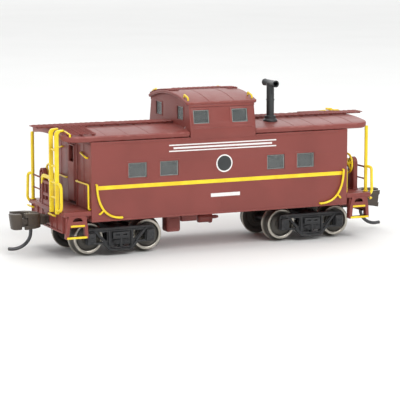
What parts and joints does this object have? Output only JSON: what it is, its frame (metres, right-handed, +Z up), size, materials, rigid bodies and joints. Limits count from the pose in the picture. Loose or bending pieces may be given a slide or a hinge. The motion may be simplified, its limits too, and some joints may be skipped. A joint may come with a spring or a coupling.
{
  "type": "model railway caboose",
  "caption": "Model railway caboose with a cupola, open end platforms, swivelling trucks with rolling wheelsets, and swinging knuckle couplers.",
  "frame": {"origin": "midway along and across the car, level with the lowest point of the wheel flanges", "axes": "+X along the car towards the end whose half carries the smoke jack, +Y to the left facing +X, +Z up"},
  "size_m": [0.0704, 0.0186, 0.0281],
  "materials": {
    "maroon_plastic": "satin moulded plastic, reddish maroon",
    "yellow_paint": "bright yellow, satin",
    "truck_plastic": "near-black moulded plastic",
    "wheel_metal": "turned and plated, dark in the dish",
    "coupler_plastic": "brown-black moulded plastic",
    "charcoal_plastic": "dark grey moulded plastic",
    "clear_glazing": "clear moulded glazing",
    "steel": "plain steel"
  },
  "bodies": {
    "car": {"body_shell": "maroon_plastic", "main_roof": "maroon_plastic", "cupola_shell": "maroon_plastic", "cupola_roof": "maroon_plastic", "cupola_glazing": "clear_glazing", "side_glazing_left": "clear_glazing", "side_glazing_right": "clear_glazing", "smoke_jack": "charcoal_plastic", "underframe": "maroon_plastic", "weight_plate": "steel", "equipment_box": "maroon_plastic", "battery_box": "maroon_plastic", "brake_cylinder": "maroon_plastic", "air_reservoir": "maroon_plastic", "running_board_front": "maroon_plastic", "door_glazing_front": "clear_glazing", "end_platform_front": "maroon_plastic", "coupler_box_lid_front": "charcoal_plastic", "lid_screw_front": "steel", "end_railing_front": "yellow_paint", "ladder_front": "yellow_paint", "brake_stand_front": "maroon_plastic", "brake_wheel_front": "yellow_paint", "centring_spring_front": "steel", "pivot_screw_front": "steel", "grab_iron_front_left": "yellow_paint", "grab_iron_front_right": "yellow_paint", "running_board_rear": "maroon_plastic", "door_glazing_rear": "clear_glazing", "end_platform_rear": "maroon_plastic", "coupler_box_lid_rear": "charcoal_plastic", "lid_screw_rear": "steel", "end_railing_rear": "yellow_paint", "ladder_rear": "yellow_paint", "brake_stand_rear": "maroon_plastic", "brake_wheel_rear": "yellow_paint", "centring_spring_rear": "steel", "pivot_screw_rear": "steel", "grab_iron_rear_left": "yellow_paint", "grab_iron_rear_right": "yellow_paint"},
    "coupler_front": {"coupler_front": "coupler_plastic", "trip_pin_front": "steel"},
    "knuckle_front": {"knuckle_front": "coupler_plastic"},
    "truck_front": {"truck_frame_front": "truck_plastic"},
    "wheelset_front_inner": {"axle_front_inner": "steel", "wheel_front_inner_left": "wheel_metal", "wheel_front_inner_right": "wheel_metal"},
    "wheelset_front_outer": {"axle_front_outer": "steel", "wheel_front_outer_left": "wheel_metal", "wheel_front_outer_right": "wheel_metal"},
    "coupler_rear": {"coupler_rear": "coupler_plastic", "trip_pin_rear": "steel"},
    "knuckle_rear": {"knuckle_rear": "coupler_plastic"},
    "truck_rear": {"truck_frame_rear": "truck_plastic"},
    "wheelset_rear_inner": {"axle_rear_inner": "steel", "wheel_rear_inner_left": "wheel_metal", "wheel_rear_inner_right": "wheel_metal"},
    "wheelset_rear_outer": {"axle_rear_outer": "steel", "wheel_rear_outer_left": "wheel_metal", "wheel_rear_outer_right": "wheel_metal"}
  },
  "joints": [
    {"name": "truck_front_swivel", "type": "hinge", "parent": "car", "child": "truck_front", "pos_m": [0.01784, 0, 0.00623], "axis": [0, 0, 1], "range_deg": [-10, 10]},
    {"name": "wheelset_front_inner_spin", "type": "hinge", "parent": "truck_front", "child": "wheelset_front_inner", "pos_m": [0.0126, 0, 0.00305], "axis": [0, 1, 0], "continuous": true},
    {"name": "wheelset_front_outer_spin", "type": "hinge", "parent": "truck_front", "child": "wheelset_front_outer", "pos_m": [0.02308, 0, 0.00305], "axis": [0, 1, 0], "continuous": true},
    {"name": "coupler_front_swing", "type": "hinge", "parent": "car", "child": "coupler_front", "pos_m": [0.0263, 0, 0.00593], "axis": [0, 0, 1], "range_deg": [-12, 12], "stiffness_Nm_per_rad": 0.0002},
    {"name": "knuckle_front_open", "type": "hinge", "parent": "coupler_front", "child": "knuckle_front", "pos_m": [0.03235, 0.0012, 0.00593], "axis": [0, 0, 1], "range_deg": [0, 30], "stiffness_Nm_per_rad": 0.0001},
    {"name": "truck_rear_swivel", "type": "hinge", "parent": "car", "child": "truck_rear", "pos_m": [-0.01784, 0, 0.00623], "axis": [0, 0, 1], "range_deg": [-10, 10]},
    {"name": "wheelset_rear_inner_spin", "type": "hinge", "parent": "truck_rear", "child": "wheelset_rear_inner", "pos_m": [-0.0126, 0, 0.00305], "axis": [0, 1, 0], "continuous": true},
    {"name": "wheelset_rear_outer_spin", "type": "hinge", "parent": "truck_rear", "child": "wheelset_rear_outer", "pos_m": [-0.02308, 0, 0.00305], "axis": [0, 1, 0], "continuous": true},
    {"name": "coupler_rear_swing", "type": "hinge", "parent": "car", "child": "coupler_rear", "pos_m": [-0.0263, 0, 0.00593], "axis": [0, 0, 1], "range_deg": [-12, 12], "stiffness_Nm_per_rad": 0.0002},
    {"name": "knuckle_rear_open", "type": "hinge", "parent": "coupler_rear", "child": "knuckle_rear", "pos_m": [-0.03235, -0.0012, 0.00593], "axis": [0, 0, 1], "range_deg": [0, 30], "stiffness_Nm_per_rad": 0.0001}
  ]
}
